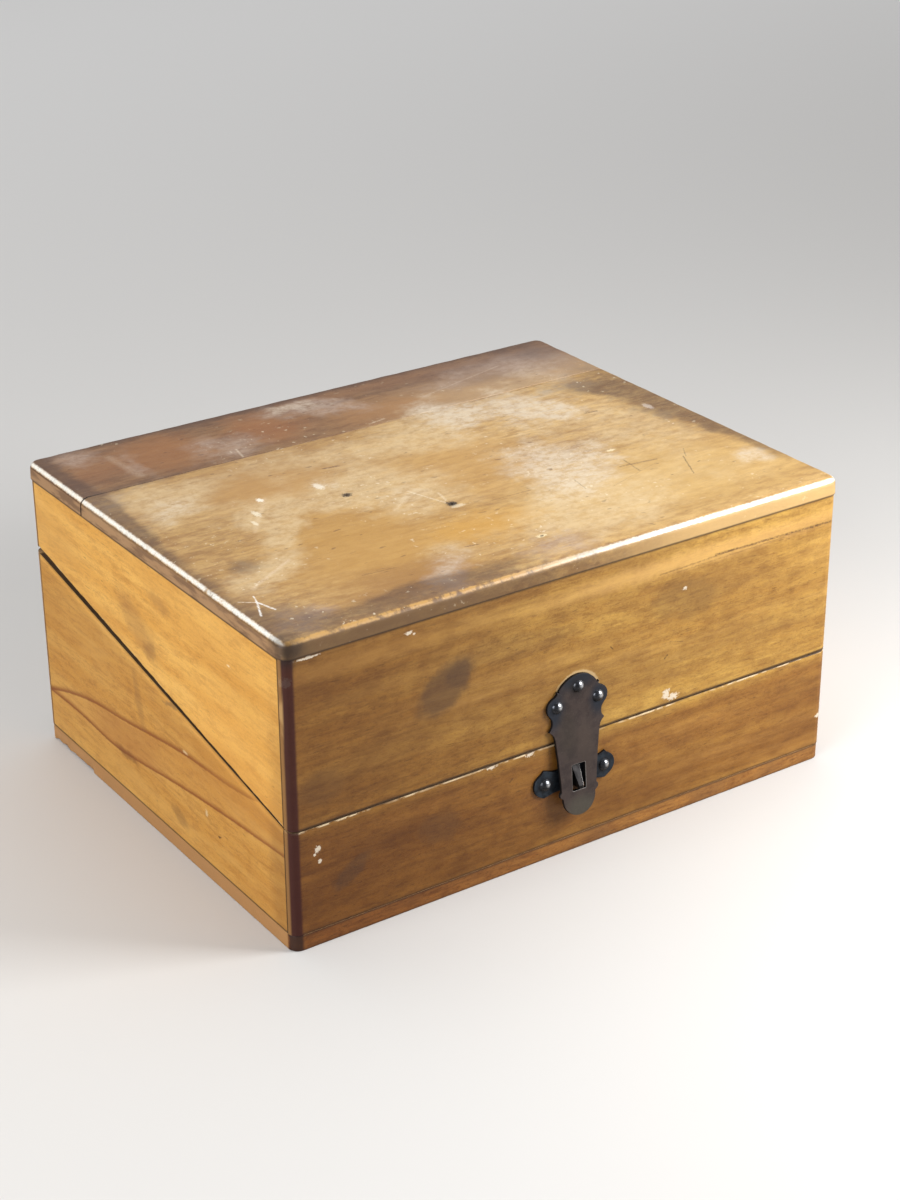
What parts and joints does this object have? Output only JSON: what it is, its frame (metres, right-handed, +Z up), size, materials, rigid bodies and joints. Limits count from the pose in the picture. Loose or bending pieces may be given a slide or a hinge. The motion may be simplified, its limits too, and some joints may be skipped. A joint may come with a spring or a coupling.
{
  "type": "wooden instrument case",
  "caption": "Slant-cut wooden box case with a rear-hinged lid, a sprung steel hasp that snaps over a nibbed catch plate, and felt-lined fittings for a microscope.",
  "frame": {"origin": "centre of the flat underside of the bottom board, midway between the outer faces of the walls", "axes": "+X along the width, to the right as seen from the hasp; -Y out of the front face that carries the hasp; +Z up"},
  "size_m": [0.2432, 0.1962, 0.12],
  "materials": {
    "end_board_wood": "stained, worn satin",
    "side_board_wood": "stained, worn satin",
    "top_wood": "stained, bloomed and scuffed",
    "bottom_wood": "stained edge, bare underside",
    "fitting_wood": "bare planed softwood",
    "green_felt": "pressed wool felt",
    "blued_steel": "dark oxidised stamped steel",
    "nail_heads": "black japanned, glossy",
    "steel_brads": "dull steel",
    "hinge_brass": "dulled brass",
    "hinge_pins": "plain steel"
  },
  "bodies": {
    "case_body": {"bottom_board": "bottom_wood", "body_front_board": "end_board_wood", "body_back_board": "end_board_wood", "body_left_board": "side_board_wood", "body_right_board": "side_board_wood", "bottom_brads": "steel_brads", "body_hinge_leaf_left": "hinge_brass", "body_hinge_leaf_right": "hinge_brass", "hinge_pin_left": "hinge_pins", "hinge_pin_right": "hinge_pins", "body_hinge_screws": "hinge_brass", "catch_plate": "blued_steel", "catch_nails": "nail_heads", "foot_chock": "fitting_wood", "foot_chock_felt": "green_felt", "tube_cradle": "fitting_wood", "tube_cradle_felt": "green_felt", "accessory_rack": "fitting_wood"},
    "lid": {"lid_front_board": "end_board_wood", "lid_back_board": "end_board_wood", "lid_left_board": "side_board_wood", "lid_right_board": "side_board_wood", "lid_top_front_plank": "top_wood", "lid_top_rear_plank": "top_wood", "lid_hinge_leaf_left": "hinge_brass", "lid_hinge_leaf_right": "hinge_brass", "lid_hinge_screws": "hinge_brass", "lid_presser": "fitting_wood", "lid_presser_felt": "green_felt", "hasp_plate": "blued_steel", "hasp_nails": "nail_heads"},
    "hasp": {"hasp_tongue": "blued_steel"}
  },
  "joints": [
    {"name": "lid_hinge", "type": "hinge", "parent": "case_body", "child": "lid", "pos_m": [0, 0.09395, 0.0842], "axis": [-1, 0, 0], "range_deg": [0, 100]},
    {"name": "hasp_spring", "type": "hinge", "parent": "lid", "child": "hasp", "pos_m": [-0.0016, -0.0962, 0.056], "axis": [-1, 0, 0], "range_deg": [0, 14], "stiffness_Nm_per_rad": 0.3}
  ]
}
